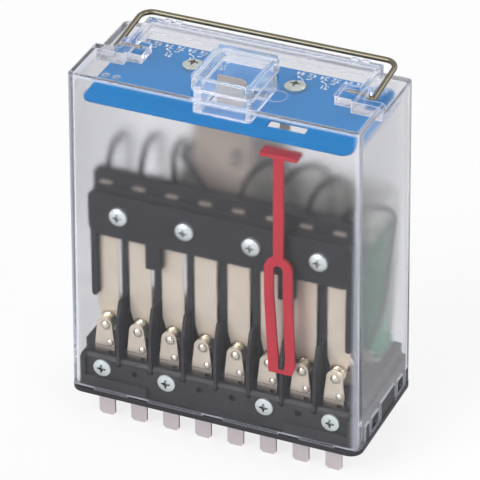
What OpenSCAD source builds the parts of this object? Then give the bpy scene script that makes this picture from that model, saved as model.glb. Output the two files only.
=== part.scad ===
// Eight-pole latching plug-in relay in a clear cover: black base with blade pins, fixed and
// moving contacts, rocking armature with a hand lever, position flag and a wire bail.
// Millimetres. X runs along the row of poles, Y from front to back, Z up.
// The origin is the middle of the flange's underside, the face that lies on the socket.

/* [Envelope] */
// Distance between neighbouring poles
pitch = 10; // [9:0.1:12]
// From the outer poles' middle to the flange's edge
side_margin = 9.4; // [9:0.1:14]
// Depth of the base flange
flange_d = 41.8; // [38:0.2:50]
// Thickness of the flange below the cover
flange_t = 1.5; // [1:0.1:3]
// Corner radius of the flange
flange_r = 3.8; // [2:0.1:6]
// Height of the cover's top face
cover_top = 103.7; // [95:0.1:115]
// How far each side of the cover leans in over its height
draft = 1.1; // [0.2:0.1:2]
// Wall of the clear cover
wall = 1.4; // [1:0.1:2]
// Depth of the rebate that the bail lies in
rebate_d = 3.7; // [3:0.1:5]
// Where the raised front part of the top ends
step_y = -1.6; // [-6:0.1:0]

/* [Turret] */
// Outer width of the turret
turret_w = 18.4; // [16:0.1:22]
// Outer depth of the turret
turret_d = 20.4; // [18:0.1:24]
// Height of the turret above the cover
turret_h = 3.3; // [2:0.1:6]
// Wall of the turret beside the well
turret_wall = 2.6; // [1.5:0.1:4]

/* [Contacts] */
// Thickness of the contact and pin strip metal
strip_t = 0.8; // [0.5:0.1:1]
// Width of a plug pin
pin_w = 4.9; // [3:0.1:6]
// Length of a plug pin below the flange
pin_l = 9.3; // [6:0.1:15]
// Height of the contact points
contact_z = 21.6; // [19:0.1:24]
// Radius of a contact disc
disc_r = 1.7; // [1:0.1:2.2]
// Height of a contact button, neck and disc
disc_h = 1.15; // [0.8:0.05:1.5]
// Gap between an open pair of contacts
open_gap = 1.8; // [1:0.1:3]
// Width of a moving blade
blade_w = 6.7; // [4:0.1:7]
// Thickness of a moving blade
blade_t = 0.4; // [0.2:0.05:0.6]

/* [Base] */
// Top of the base's outer rim
rim_z = 10.3; // [9:0.1:12]
// Top of the base's inner block
block_z = 14.7; // [13:0.1:16]
// Thickness of the terminal strip
strip_d = 1.9; // [1.5:0.1:3]
// Top of the terminal strip
strip_z = 12.1; // [10:0.1:12.5]
// Height of the strip's row of screws
screw_z = 8.3; // [7:0.1:8.5]
// Height of the strip's screw heads
strip_head_t = 1.1; // [0.8:0.1:1.5]
// Radius of the screw heads
head_r = 2.65; // [2.2:0.05:3]

/* [Moving bar] */
// Underside of the contact bar
bar_z0 = 51; // [48:0.1:54]
// Height of the front half of the bar
bar_h = 13.8; // [12:0.1:15]
// How far the rear half stands above the front half
bar_step = 5.4; // [4:0.1:7]
// Thickness of the bar's front half
bar_front_t = 2.5; // [2:0.1:3]
// Thickness of the bar's rear half
bar_rear_t = 3.5; // [3:0.1:5]

/* [Armature] */
// Height of the rocking axis
pivot_z = 62; // [60:0.1:64]
// Radius of the rocking shaft
shaft_r = 1.5; // [1:0.1:2]
// Thickness of the lever plate
lever_t = 1.2; // [0.8:0.1:1.5]
// Width of the lever plate inside the cover
lever_w = 17; // [14:0.1:18]

/* [Coil] */
// Width of the wound coil
coil_w = 24.4; // [20:0.1:26]
// Depth of the wound coil
coil_d = 10.2; // [8:0.1:11]
// Top of the coil's upper flange
coil_z1 = 57; // [50:0.1:58]

/* [Flag] */
// Thickness of the flag
flag_t = 1; // [0.6:0.1:1.2]
// Width of the flag's head plate
flag_head_w = 10.9; // [8:0.1:12]
// Height of the flag's pivot
flag_pivot_z = 21.8; // [20:0.1:26]

/* [Bail] */
// Radius of the bail's wire
wire_r = 0.8; // [0.5:0.05:1]
// Slope of the legs at rest
bail_lift = 6; // [2:0.5:15]

/* [Clearances] */
// Radial clearance of a shaft that turns
run_gap = 0.06; // [0.02:0.01:0.1]
// Clearance of a pin or tongue in its slot
slot_gap = 0.05; // [0.02:0.01:0.1]
// Clearance of the turret's collar in the cover
collar_gap = 0.2; // [0.1:0.05:0.3]
// Gap between closed contacts, so that they stay separate pieces
closed_gap = 0.15; // [0.1:0.01:0.2]
// Clearance of the flag and the screw heads behind the cover's wall
wall_gap = 0.2; // [0.1:0.05:0.3]

/* [Hidden] */
$fn = 40;
eps = 0.01;
// the rows of names, screws and holes are laid out for eight poles
poles = 8;

// envelope
flange_w = (poles - 1) * pitch + 2 * side_margin;
cover_w = flange_w - 0.4;
cover_d = flange_d - 0.4;
rebate_z = cover_top - rebate_d;
plateau_x = cover_w / 2 - 9.2;
plateau_y = cover_d / 2 - 2.9;
function lean(z) = draft * (z - flange_t) / (cover_top - flange_t);
// half the room inside the cover at a height, to a tenth of a millimetre
function in_x(z) = round(10 * (cover_w / 2 - wall - lean(z))) / 10;
function in_y(z) = round(10 * (cover_d / 2 - wall - lean(z))) / 10;

// front rows, each from the one before it
strip_y = -in_y(screw_z) + strip_head_t + wall_gap;
front_y = strip_y + strip_d;
blade_y = front_y + strip_t + disc_h + 0.05 + closed_gap + disc_h;
rear_y = blade_y + blade_t + disc_h + open_gap + disc_h;
bar_y0 = blade_y - bar_front_t;
bar_ym = blade_y + blade_t;
bar_y1 = bar_ym + bar_rear_t;
bar_z1 = bar_z0 + bar_h;
bar_z2 = bar_z1 + bar_step;
bar_x = in_x(bar_z2) - 2.6;
bar_screw_z = bar_z0 + bar_h * 0.54;
tag_w = 3.4;
tag_top = bar_z1 + 2.5;
barrier_t = 0.9;
barrier_wide = pitch - blade_w - 1.3;

// rear rows
frame_t = 1.2;
frame_y = in_y(bar_z1) - frame_t - 0.8;
coil_y = frame_y - 5.7;
common_y = coil_y - coil_d / 2 - 2.4;
coil_pin_y = coil_y + 1.7;
coil_x1 = in_x(coil_z1) - 3.8;
coil_x0 = coil_x1 - coil_w;
coil_xm = (coil_x0 + coil_x1) / 2;
coil_z0 = block_z + 1.5;
bobbin_t = 1.5;
core_w = 14.4;
core_d = 3.8;
pole_face_z = coil_z1 + 1;
armature_z = pole_face_z + 0.4;
armature_t = 1.6;
pivot_y = common_y - 3.4;

// top
label_t = 0.8;
label_z = cover_top - 8.5;
label_screws_xy = [[-17.2, pivot_y + 7.3], [13.2, pivot_y + 7.3]];
lever_y = pivot_y - 4.4;
lever_top = cover_top + 0.3;
lever_x = -3.5;
turret_cx = 0.45;
turret_cy = pivot_y - 4.3;
turret_z = cover_top + turret_h;
collar_z = label_z + label_t + 0.3;
collar_in = 0.6;
well_x0 = turret_cx + 0.3 - turret_w / 2 + turret_wall;
well_x1 = turret_cx + 0.3 + turret_w / 2 - turret_wall;
tab_x0 = well_x0 + 0.95;
tab_x1 = well_x1 - 3.95;

// flag
flag_x = (poles / 2 - 2) * pitch - 1;
flag_top = label_z - 4.2;
flag_y = -in_y(flag_top) + wall_gap;
flag_pivot_y = flag_y + 2.6;
flag_foot = 1.3;
fork_r = 4.15;
fork_in = 1.45;
fork_z = bar_z0 + 3.4;

// bail
bail_x = cover_w / 2 - 6.1;
bail_y = step_y + 4.1;
bail_z = rebate_z + 1.6;
bail_l = cover_d / 2 - bail_y + 0.2;
bail_hook = 7.4;

screw_x = [for (i = [0, 2, 5, 7]) pole_x(i)];
small_hole_x = [for (i = [1, 3, 4, 6]) pole_x(i)];
bar_screw_x = [for (i = [0, 2, 4, 6]) barrier_x(i)];
coil_pin_x = [for (i = [0, 1, 6, 7]) pole_x(i)];
side_windows = [[-10.2, -5], [9.7, 13.9]];
side_notches = [[-14.7, -12], [16, 18]];
side_block = [-2.9, 7.3];

function pole_x(i) = (i - (poles - 1) / 2) * pitch;
function barrier_x(i) = (i - (poles - 2) / 2) * pitch;
function pole_names(stem) = [for (i = [1:poles]) str(stem, i)];

// Which node to draw

// ---------- shared shapes ----------

// A box between two corners
module box(a, b) {
    translate(a) cube(b - a);
}

// A rounded rectangle between x0..x1 and y0..y1
module rrect(x0, x1, y0, y1, r) {
    translate([x0 + r, y0]) square([x1 - x0 - 2 * r, y1 - y0]);
    translate([x0, y0 + r]) square([x1 - x0, y1 - y0 - 2 * r]);
    for (x = [x0 + r, x1 - r], y = [y0 + r, y1 - r]) translate([x, y]) circle(r);
}

// The same, standing between two heights
module rblock(x0, x1, y0, y1, r, z0, z1) {
    translate([0, 0, z0]) linear_extrude(z1 - z0) rrect(x0, x1, y0, y1, r);
}

// The same about a middle
module rblock_at(cx, cy, w, d, r, z0, z1) {
    rblock(cx - w / 2, cx + w / 2, cy - d / 2, cy + d / 2, r, z0, z1);
}

// A flat outline in X and Z, given thickness from y0 towards the rear
module wall_xz(y0, t) {
    translate([0, y0 + t, 0]) rotate([90, 0, 0]) linear_extrude(t) children();
}

// A flat outline in Y and Z, given thickness about x
module wall_yz(x, t) {
    translate([x - t / 2, 0, 0]) rotate([90, 0, 90]) linear_extrude(t) children();
}

// A rod along X
module rod_x(x0, x1, y, z, r) {
    translate([x0, y, z]) rotate([0, 90, 0]) cylinder(h = x1 - x0, r = r);
}

// A rod along Y
module rod_y(x, y0, y1, z, r) {
    translate([x, y1, z]) rotate([90, 0, 0]) cylinder(h = y1 - y0, r = r);
}

// A shallow dome of radius r and height h that stands on z = 0
module dome(r, h) {
    ball = (r * r + h * h) / (2 * h);
    intersection() {
        translate([0, 0, h - ball]) sphere(ball, $fn = 60);
        cylinder(h = h + eps, r = r);
    }
}

// A pan-head screw with a cross recess, its seat at z = 0 and its head upwards
module pan_screw(head_r, head_t, shank_r, shank_l) {
    side = head_t * 0.55;
    difference() {
        union() {
            cylinder(h = side, r = head_r);
            translate([0, 0, side - eps]) dome(head_r, head_t - side);
            translate([0, 0, -shank_l]) cylinder(h = shank_l + eps, r = shank_r);
        }
        for (a = [0, 90]) rotate(a) {
            box([-head_r * 0.5, -head_r * 0.11, head_t * 0.25],
                [head_r * 0.5, head_r * 0.11, 9]);
            box([-head_r * 0.24, -head_r * 0.2, head_t * 0.25],
                [head_r * 0.24, head_r * 0.2, 9]);
        }
    }
}

// The same screw facing the front, its seat at y
module front_screw(x, y, z, head_r, head_t, shank_r, shank_l) {
    translate([x, y, z]) rotate([90, 0, 0]) pan_screw(head_r, head_t, shank_r, shank_l);
}

// A contact button from y, towards the front (way -1) or the rear (way 1): neck, then disc
module button(x, y, z, way) {
    neck = disc_h * 0.4;
    for (s = [[0, neck, disc_r - 0.4], [neck - eps, disc_h, disc_r]])
        rod_y(x, min(y + way * s[0], y + way * s[1]), max(y + way * s[0], y + way * s[1]), z, s[2]);
}

// ---------- cover ----------

// A thin level slice of the cover's body, drawn in by an inset
module cover_slice(z, inset, r) {
    in = lean(z) + inset;
    translate([0, 0, z]) linear_extrude(eps)
        rrect(-cover_w / 2 + in, cover_w / 2 - in, -cover_d / 2 + in, cover_d / 2 - in, r);
}

// What the rebate takes away: everything beside and behind the plateau, grown by g
module rebate(g) {
    difference() {
        box([-60, step_y - g, rebate_z - g], [60, 60, cover_top + 5]);
        box([-plateau_x + g, -60, 0], [plateau_x - g, plateau_y - g, cover_top + 9]);
    }
}

module side_openings() {
    for (s = [-1, 1]) {
        x0 = s > 0 ? cover_w / 2 - wall - 1.6 : -cover_w / 2 - 2;
        x1 = s > 0 ? cover_w / 2 + 2 : -cover_w / 2 + wall + 1.6;
        for (w = side_windows) box([x0, w[0], 2.4], [x1, w[1], 6.6]);
        for (w = side_notches) box([x0, w[0], 0], [x1, w[1], 6.8]);
        box([x0, side_block[0] - 0.1, 0], [x1, side_block[1] + 0.1, 7.3]);
    }
}

// A block beside the plateau that one end of the bail turns in
module tunnel_boss(s) {
    x0 = s > 0 ? bail_x - bail_hook - 2.2 : -bail_x + 1.3;
    box([x0, step_y - 0.5, rebate_z - 0.4],
        [x0 + bail_hook + 0.9, bail_y + 2.4, cover_top - 0.2]);
}

// A shallow ring left in the top by the mould
module mould_ring(x, y) {
    translate([x, y, cover_top - 0.12]) difference() {
        cylinder(h = 1, r = 3.05);
        translate([0, 0, -1]) cylinder(h = 3, r = 2.9);
    }
}

module cover() color([0.86, 0.87, 0.92, 0.35]) {
    difference() {
        union() {
            difference() {
                hull() {
                    cover_slice(flange_t, 0, 3.2);
                    cover_slice(cover_top - 0.8, 0, 1.9);
                    cover_slice(cover_top - eps, 0.7, 1.2);
                }
                rebate(0);
                difference() {
                    hull() {
                        cover_slice(flange_t - 1, wall, 1.9);
                        cover_slice(cover_top - wall, wall, 0.8);
                    }
                    rebate(wall);
                }
            }
            for (s = [-1, 1]) tunnel_boss(s);
            // nibs behind the plateau, over which the bail snaps
            for (x = [-28, 28]) for (d = [-1.6, 1.6])
                box([x + d - 1, plateau_y - 0.3, cover_top - 1.4],
                    [x + d + 1, plateau_y + 1.2, cover_top - 0.2]);
            // two moulded pips near the front left corner
            for (x = [-32.4, -29.2]) translate([x, -cover_d / 2 + 3.9, cover_top - eps])
                dome(0.9, 0.5);
        }
        for (s = [-1, 1])
            rod_x(s > 0 ? bail_x - bail_hook - 2.5 : -bail_x + 1.1,
                  s > 0 ? bail_x - 1.1 : -bail_x + bail_hook + 2.5,
                  bail_y, bail_z, wire_r + run_gap);
        side_openings();
        // relief notches along the front and rear lower edge
        for (k = [-4, -2.32, 0, 2.32, 4], s = [-1, 1]) let(x = k * pitch)
            box([x - 3.15, s > 0 ? cover_d / 2 - 0.7 : -cover_d / 2 - 1, 0],
                [x + 3.15, s > 0 ? cover_d / 2 + 1 : -cover_d / 2 + 0.7, flange_t + 0.6]);
        // hole for the turret's collar
        rblock_at(turret_cx, turret_cy, turret_w - 2 * collar_in + 2 * collar_gap,
                  turret_d - 2 * collar_in + 2 * collar_gap, 1.2, cover_top - 4, cover_top + 4);
        mould_ring(-15, plateau_y - 7.3);
        mould_ring(15, plateau_y - 7.3);
        mould_ring(14.7, -cover_d / 2 + 11.3);
    }
}

module turret_frame() color([0.9, 0.9, 0.94, 0.4]) {
    well_w = turret_w - 2 * turret_wall;
    well_d = turret_d - 2 * turret_wall + 0.4;
    difference() {
        union() {
            rblock_at(turret_cx, turret_cy, turret_w, turret_d, 1.6, cover_top, turret_z);
            rblock_at(turret_cx, turret_cy, turret_w - 2 * collar_in, turret_d - 2 * collar_in,
                      1, collar_z, cover_top + eps);
        }
        rblock_at(turret_cx + 0.3, turret_cy - 0.5, well_w, well_d, 0.6,
                  collar_z - 1, turret_z + 1);
        // rebate around the mouth of the well
        rblock_at(turret_cx + 0.3, turret_cy - 0.3, well_w + 1.8, well_d + 1.5, 0.9,
                  turret_z - 0.8, turret_z + 1);
    }
}

// ---------- label plate ----------

module label_plate() color([0.12, 0.45, 0.8]) {
    front = in_y(label_z) - 0.14;
    half = in_x(label_z) - 2.3;
    difference() {
        rblock(-half, half, -front, front - 0.8, 3, label_z, label_z + label_t);
        // slot for the lever, window above the flag, see-through port behind the lever
        box([lever_x - 2.5, lever_y - 2.6, label_z - 1], [lever_x + 8, lever_y + 3, label_z + 2]);
        box([flag_x - 6, pivot_y - 12.4, label_z - 1], [flag_x + 5.3, pivot_y - 8.5, label_z + 2]);
        box([lever_x + 2.1, lever_y + 2.4, label_z - 1],
            [lever_x + 10.3, lever_y + 7.2, label_z + 2]);
        for (p = label_screws_xy) translate([p[0], p[1], label_z - 1]) cylinder(h = 3, r = 1.3);
    }
}

module label_screws() color([0.78, 0.8, 0.76]) {
    for (p = label_screws_xy) translate([p[0], p[1], label_z + label_t])
        pan_screw(3, 2, 1.25, 3.5);
}

// ---------- base ----------

// A row of slots through the base for flat pins
module pin_slots(xs, y) {
    for (x = xs)
        box([x - pin_w / 2 - slot_gap, y - slot_gap, -1],
            [x + pin_w / 2 + slot_gap, y + strip_t + slot_gap, 30]);
}

module base() color([0.13, 0.13, 0.14]) {
    rim_x = cover_w / 2 - wall - 0.3;
    rim_y = cover_d / 2 - wall - 0.3;
    all_x = [for (i = [0:poles - 1]) pole_x(i)];
    strip_x = poles * pitch / 2;
    difference() {
        union() {
            rblock(-flange_w / 2, flange_w / 2, -flange_d / 2, flange_d / 2, flange_r, 0, flange_t);
            difference() {
                rblock(-rim_x, rim_x, -rim_y, rim_y, 1.8, flange_t - eps, rim_z);
                box([-strip_x - 0.2, -60, flange_t], [strip_x + 0.2, front_y + strip_t, 30]);
            }
            rblock(-rim_x + 0.9, rim_x - 0.9, front_y + strip_t, rim_y - 1.6, 1,
                   rim_z - eps, block_z);
            // ledges in front of the terminal strip
            for (s = [-1, 1])
                box([s > 0 ? strip_x / 2 + 1 : -strip_x - 0.2, -rim_y, flange_t - eps],
                    [s > 0 ? strip_x + 0.2 : -strip_x / 2 - 1, strip_y, 5]);
            // blocks and hooks that fill the cover's side openings
            for (s = [-1, 1]) {
                x0 = s > 0 ? rim_x - 0.5 : -cover_w / 2 + 0.1;
                x1 = s > 0 ? cover_w / 2 - 0.1 : -rim_x + 0.5;
                box([x0, side_block[0], flange_t - eps], [x1, side_block[1], 7.1]);
                for (w = side_notches)
                    box([x0, w[0] + 0.15, flange_t - eps], [x1, w[1] - 0.15, 6.6]);
                for (w = side_windows)
                    box([s > 0 ? x0 : x0 + 0.5, w[0] + 0.4, 3.4],
                        [s > 0 ? x1 - 0.5 : x1, w[1] - 0.4, 5.8]);
            }
        }
        for (y = [front_y, rear_y, common_y]) pin_slots(all_x, y);
        pin_slots(coil_pin_x, coil_pin_y);
        // bores behind the strip, for the screws and in line with its small holes
        for (x = screw_x) rod_y(x, front_y, front_y + 8, screw_z, 1.3);
        for (x = small_hole_x) rod_y(x, front_y, front_y + 4, screw_z, 0.9);
    }
}

module terminal_strip() color([0.16, 0.16, 0.18]) {
    y1 = front_y;
    difference() {
        wall_yz(0, poles * pitch) polygon([[strip_y, flange_t], [strip_y, strip_z - 0.9],
            [strip_y + 0.7, strip_z], [y1, strip_z], [y1, flange_t]]);
        for (x = screw_x) rod_y(x, strip_y - 1, y1 + 1, screw_z, 1.3);
        for (x = small_hole_x) rod_y(x, strip_y - 1, y1 + 1, screw_z, 1);
        for (i = [0:poles - 2]) {
            rod_y(barrier_x(i), strip_y - 1, y1 + 1, strip_z - 1.8, 0.9);
            box([barrier_x(i) - barrier_t / 2 - slot_gap, strip_y - 1, strip_z - 1.8],
                [barrier_x(i) + barrier_t / 2 + slot_gap, y1 + 1, strip_z + 1]);
        }
        // shallow step below the middle of the strip
        box([-20.6, strip_y - 1, flange_t - 1], [20.6, strip_y + 0.3, 4.2]);
    }
}

module strip_screws() color([0.8, 0.83, 0.83]) {
    for (x = screw_x) front_screw(x, strip_y, screw_z, head_r, strip_head_t, 1.25, 8);
}

// Outline of a barrier's thin front blade in Y and Z
function barrier_front() = [[strip_y - 0.4, strip_z - 1.6], [strip_y - 0.4, contact_z + 1.9],
    [strip_y + 0.9, contact_z + 6.4], [strip_y + 1.8, contact_z + 9.2],
    [blade_y + 0.6, contact_z + 9.2], [blade_y + 0.6, block_z], [front_y + strip_t, block_z],
    [front_y + strip_t, strip_z - 1.6]];

// Outline of its thick rear part, with room for a lug of the bar
function barrier_rear(notched) = concat(
    notched ? [[blade_y + 0.5, bar_z0 - 9], [bar_ym + 1, bar_z0 - 9], [bar_ym + 1, bar_z0 - 1.5]]
            : [[blade_y + 0.5, bar_z0 - 1.5]],
    [[common_y - 1.9, bar_z0 - 1.5], [common_y - 1.9, block_z], [blade_y + 0.5, block_z]]);

module pole_barriers() color([0.17, 0.17, 0.18]) {
    for (i = [0:poles - 2]) difference() {
        union() {
            wall_yz(barrier_x(i), barrier_t) polygon(barrier_front());
            wall_yz(barrier_x(i), barrier_wide) polygon(barrier_rear(i == 1 || i == 5));
        }
        // bearing of the position flag, and room for the flag's foot
        if (i == 5) {
            rod_x(barrier_x(i) - 5, barrier_x(i) + 5, flag_pivot_y, flag_pivot_z,
                  0.6 + run_gap);
            box([barrier_x(i) - 5, -60, flag_pivot_z - 1.6],
                [barrier_x(i) + 5, flag_y + flag_t + 0.3, flag_pivot_z + 0.5]);
        }
    }
}

// ---------- fixed contacts and terminals ----------

// Outline of a flat pin with chamfered lower corners, about x = 0, up to height z1
module pin_outline(z1) {
    c = pin_w * 0.18;
    polygon([[-pin_w / 2, -pin_l + c], [-pin_w / 2 + c, -pin_l], [pin_w / 2 - c, -pin_l],
        [pin_w / 2, -pin_l + c], [pin_w / 2, z1], [-pin_w / 2, z1]]);
}

module front_contact(i) color([0.8, 0.76, 0.7]) {
    foot = block_z + 0.6;
    foot_w = 6;
    tip_w = 4.6;
    screwed = len([for (x = screw_x) if (x == pole_x(i)) x]) > 0;
    difference() {
        translate([pole_x(i), 0, 0]) wall_xz(front_y, strip_t) difference() {
            union() {
                pin_outline(block_z);
                polygon([[-foot_w / 2, flange_t + 3], [foot_w / 2, flange_t + 3],
                    [foot_w / 2, foot], [tip_w / 2, contact_z], [-tip_w / 2, contact_z],
                    [-foot_w / 2, foot]]);
                translate([0, contact_z + 0.2]) circle(tip_w / 2);
            }
            translate([0.35, contact_z]) circle(0.8);
            translate([1.7, contact_z - 5.6]) circle(0.6);
            translate([1.8, strip_z + 0.4]) circle(0.85);
            translate([0, screw_z]) circle(screwed ? 1.3 : 1);
        }
        // bend lines across the foot
        for (z = [foot - 2.2, foot - 0.9])
            box([pole_x(i) - 4, front_y - 1, z], [pole_x(i) + 4, front_y + 0.15, z + 0.22]);
    }
}

// Domed rivet through a contact plate whose front face is at y
module rivet_head(x, y, z, r) {
    rod_y(x, y - 0.3, y, z, r);
    translate([x, y - 0.3 + eps, z]) rotate([90, 0, 0]) dome(r, r * 0.45);
}

// Rivet that carries the contact disc on each front contact
module front_contact_tips() color([0.86, 0.82, 0.72]) {
    for (i = [0:poles - 1]) {
        x = pole_x(i) + 0.35;
        rivet_head(x, front_y, contact_z, 1.25);
        rod_y(x, front_y - eps, front_y + strip_t + eps, contact_z, 0.8);
        rod_y(x, front_y + strip_t, front_y + strip_t + 0.1, contact_z, disc_r - 0.4);
        button(x, front_y + strip_t + 0.05, contact_z, 1);
    }
}

module foot_rivets() color([0.84, 0.82, 0.76]) {
    for (i = [0:poles - 1]) {
        rivet_head(pole_x(i) + 1.7, front_y, contact_z - 5.6, 0.95);
        rod_y(pole_x(i) + 1.7, front_y - eps, front_y + strip_t, contact_z - 5.6, 0.6);
    }
}

module rear_contacts() color([0.8, 0.76, 0.7]) {
    for (i = [0:poles - 1]) translate([pole_x(i), 0, 0]) wall_xz(rear_y, strip_t) difference() {
        union() {
            pin_outline(contact_z);
            translate([0, contact_z]) circle(pin_w / 2);
        }
        translate([0.35, contact_z]) circle(0.8);
    }
}

module rear_contact_tips() color([0.86, 0.82, 0.72]) {
    for (i = [0:poles - 1]) {
        x = pole_x(i) + 0.35;
        button(x, rear_y, contact_z, -1);
        rod_y(x, rear_y - eps, rear_y + strip_t + eps, contact_z, 0.8);
        rod_y(x, rear_y + strip_t, rear_y + strip_t + 0.6, contact_z, 1.2);
    }
}

module common_terminals() color([0.76, 0.73, 0.72]) {
    for (i = [0:poles - 1])
        translate([pole_x(i), 0, 0]) wall_xz(common_y, strip_t) pin_outline(block_z + 4.3);
}

module coil_pins() color([0.76, 0.73, 0.72]) {
    for (x = coil_pin_x) translate([x, 0, 0]) wall_xz(coil_pin_y, strip_t) pin_outline(block_z);
}

// ---------- magnet system ----------

module magnet_frame() color([0.72, 0.68, 0.6]) {
    y1 = frame_y + frame_t;
    x0 = -20.5;
    x1 = coil_x1 + 0.2;
    cheek_z = pivot_z + 4;
    difference() {
        union() {
            box([x0, frame_y, block_z], [x1, y1, cheek_z]);
            box([-14, frame_y, cheek_z - 5], [8, y1, label_z]);
            box([-21, pivot_y + 3, label_z - frame_t], [17, y1, label_z]);
            box([coil_x0, coil_y - 5.7, block_z], [coil_x1, frame_y + eps, coil_z0]);
            for (x = [x0, coil_x1 - 2])
                box([x, pivot_y - 2.6, pivot_z - 3.4], [x + 1.2, frame_y + eps, cheek_z]);
        }
        rod_x(-30, 60, pivot_y, pivot_z, shaft_r + run_gap);
        for (p = label_screws_xy) translate([p[0], p[1], label_z - 3]) cylinder(h = 5, r = 1.3);
        box([-11, -10, cheek_z + 10], [5, 60, cheek_z + 24]);
    }
}

module coil_core() color([0.6, 0.61, 0.62]) {
    box([coil_xm - core_w / 2, coil_y - core_d / 2, coil_z0],
        [coil_xm + core_w / 2, coil_y + core_d / 2, pole_face_z]);
}

module coil_bobbin() color([0.72, 0.8, 0.75]) {
    fw = coil_w + 1.6;
    fd = coil_d + 1.2;
    difference() {
        union() {
            rblock_at(coil_xm, coil_y, fw, fd, 1.5, coil_z0, coil_z0 + bobbin_t);
            rblock_at(coil_xm, coil_y, fw, fd, 1.5, coil_z1 - bobbin_t, coil_z1);
            rblock_at(coil_xm, coil_y, core_w + 2, core_d + 2, 1, coil_z0, coil_z1);
        }
        box([coil_xm - core_w / 2, coil_y - core_d / 2, coil_z0 - 1],
            [coil_xm + core_w / 2, coil_y + core_d / 2, coil_z1 + 1]);
    }
}

module coil_winding() color([0.3, 0.62, 0.5]) {
    difference() {
        rblock_at(coil_xm, coil_y, coil_w, coil_d, 4.5, coil_z0 + bobbin_t, coil_z1 - bobbin_t);
        rblock_at(coil_xm, coil_y, core_w + 2, core_d + 2, 1, coil_z0, coil_z1);
    }
}

module permanent_magnet() color([0.3, 0.3, 0.32]) {
    box([-11, frame_y - 4.2, pivot_z - 12], [4, frame_y, pivot_z - 5]);
}

// ---------- moving carriage ----------

// A bar's outline with chamfered corners: a at the top, b at the bottom
module bar_outline(x, z0, z1, a, b) {
    polygon([[-x + b, z0], [x - b, z0], [x, z0 + b], [x, z1 - a],
        [x - a, z1], [-x + a, z1], [-x, z1 - a], [-x, z0 + b]]);
}

module front_bar() color([0.17, 0.17, 0.19]) {
    lug_z = bar_z0 - 7.8;
    leg_x = bar_x - 1.05;
    leg_z = bar_z0 - 20.2;
    difference() {
        union() {
            wall_xz(bar_y0, bar_front_t) bar_outline(bar_x, bar_z0, bar_z1, 1.2, 2.2);
            // lip in front of the blades' tags
            box([-bar_x + 1.2, blade_y - 0.9, bar_z1 - eps], [bar_x - 1.2, blade_y, tag_top - 0.8]);
            // lugs in front of two of the barriers
            for (i = [1, 5]) box([barrier_x(i) - 2.2, bar_y0, lug_z],
                                 [barrier_x(i) + 2.2, blade_y, bar_z0 + 2]);
            // end guards beside the outer blades
            for (s = [-1, 1]) wall_xz(bar_y0 + 0.7, bar_front_t - 0.7) {
                translate([s * leg_x, leg_z]) circle(0.85);
                translate([s * leg_x - 0.85, leg_z]) square([1.7, bar_z0 + 2 - leg_z]);
            }
            // nib that carries the flag along
            box([barrier_x(5) + 0.5, flag_y + flag_t + 0.45, lug_z],
                [barrier_x(5) + 1.8, bar_y0 + eps, lug_z + 1.2]);
        }
        for (x = bar_screw_x) rod_y(x, bar_y0 - 1, blade_y + 1, bar_screw_z, 1.3);
    }
}

module rear_bar() color([0.14, 0.14, 0.16]) {
    difference() {
        wall_xz(bar_ym, bar_rear_t) bar_outline(bar_x - 0.6, bar_z0, bar_z2, 0.5, 1.5);
        for (x = bar_screw_x) rod_y(x, bar_ym - 1, bar_y1 - 0.8, bar_screw_z, 1.3);
    }
}

module bar_screws() color([0.8, 0.83, 0.83]) {
    for (x = bar_screw_x) front_screw(x, bar_y0, bar_screw_z, head_r, 1.7, 1.25, 5.2);
}

// A blade: contact end below, clamped part in the bar, solder tag above it
module blade(i) color([0.8, 0.76, 0.7]) {
    taper_z = contact_z + 4.9;
    difference() {
        translate([pole_x(i), 0, 0]) wall_xz(blade_y, blade_t) difference() {
            union() {
                translate([-blade_w / 2, taper_z]) square([blade_w, bar_z1 - 2 - taper_z]);
                polygon([[-blade_w / 2, taper_z + eps], [blade_w / 2, taper_z + eps],
                    [2, contact_z], [-2, contact_z]]);
                translate([0, contact_z]) circle(2.1);
                translate([-tag_w / 2, bar_z1 - 3]) square([tag_w, tag_top - bar_z1 + 3]);
            }
            translate([0.35, contact_z]) circle(0.8);
        }
        rod_y(pole_x(i) + (i % 2 == 0 ? pitch / 2 : -pitch / 2), blade_y - 1, blade_y + 2,
              bar_screw_z, 2.2);
    }
}

module blade_contacts() color([0.86, 0.8, 0.66]) {
    for (i = [0:poles - 1]) {
        x = pole_x(i) + 0.35;
        button(x, blade_y, contact_z, -1);
        rod_y(x, blade_y - eps, blade_y + blade_t + eps, contact_z, 0.8);
        button(x, blade_y + blade_t, contact_z, 1);
    }
}

module carrier_hub() color([0.15, 0.15, 0.17]) {
    difference() {
        box([lever_x - 6, bar_y1, pivot_z - 4.5], [lever_x + 6, pivot_y + 2.5, pivot_z + 4]);
        rod_x(-20, 20, pivot_y, pivot_z, shaft_r);
        box([lever_x - 5.1, lever_y, pivot_z - 3], [lever_x + 5.1, lever_y + lever_t, pivot_z + 8]);
    }
}

module pivot_shaft() color([0.66, 0.67, 0.68]) {
    rod_x(-22, coil_x1 + 0.6, pivot_y, pivot_z, shaft_r);
}

module armature_plate() color([0.68, 0.69, 0.68]) {
    y0 = pivot_y + 2.5;
    y1 = frame_y - 0.6;
    top = armature_z + armature_t;
    box([lever_x - 5.5, y0, pivot_z - 3.6], [lever_x + 5.5, y0 + 1.5, pivot_z + 4]);
    box([lever_x - 5.5, y0, armature_z], [lever_x + 5.5, y1, top]);
    box([lever_x + 5.5 - eps, coil_y - core_d / 2, armature_z], [coil_xm + core_w / 2, y1, top]);
}

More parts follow.
